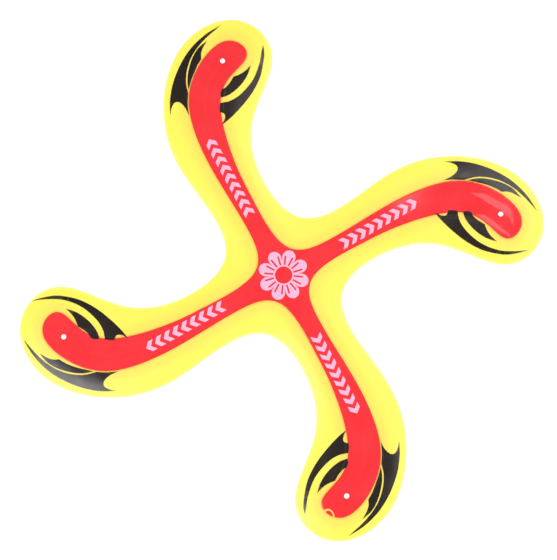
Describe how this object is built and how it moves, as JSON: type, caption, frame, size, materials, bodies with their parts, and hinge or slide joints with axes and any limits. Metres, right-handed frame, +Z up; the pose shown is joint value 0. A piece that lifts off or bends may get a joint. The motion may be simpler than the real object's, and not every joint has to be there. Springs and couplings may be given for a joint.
{
  "type": "boomerang",
  "caption": "Cross-shaped returning throwing toy with curled, rounded wing tips, a raised foil stripe along every arm and printed claws round each tip.",
  "frame": {"origin": "centre of the hub, on the flat underside", "axes": "+Z up out of the printed face; one arm leaves the hub along +X and its tip curls towards -Y, and the other arms are its quarter turns"},
  "size_m": [0.273, 0.273, 0.005],
  "materials": {
    "yellow_plastic": "smooth moulded polypropylene, slightly translucent at the edge",
    "red_foil": "hot-stamped glossy foil",
    "black_print": "glossy black stamped print",
    "pale_print": "pale pink ink over the foil"
  },
  "bodies": {
    "root": {"wing_body": "yellow_plastic", "stripe_foil": "red_foil", "claw_lead_outer_1": "black_print", "claw_lead_outer_2": "black_print", "claw_lead_outer_3": "black_print", "claw_lead_outer_4": "black_print", "claw_lead_inner_1": "black_print", "claw_lead_inner_2": "black_print", "claw_lead_inner_3": "black_print", "claw_lead_inner_4": "black_print", "claw_trail_outer_1": "black_print", "claw_trail_outer_2": "black_print", "claw_trail_outer_3": "black_print", "claw_trail_outer_4": "black_print", "claw_trail_inner_1": "black_print", "claw_trail_inner_2": "black_print", "claw_trail_inner_3": "black_print", "claw_trail_inner_4": "black_print", "chevron_strip_1": "pale_print", "chevron_strip_2": "pale_print", "chevron_strip_3": "pale_print", "chevron_strip_4": "pale_print", "hub_rosette": "pale_print"}
  },
  "joints": []
}
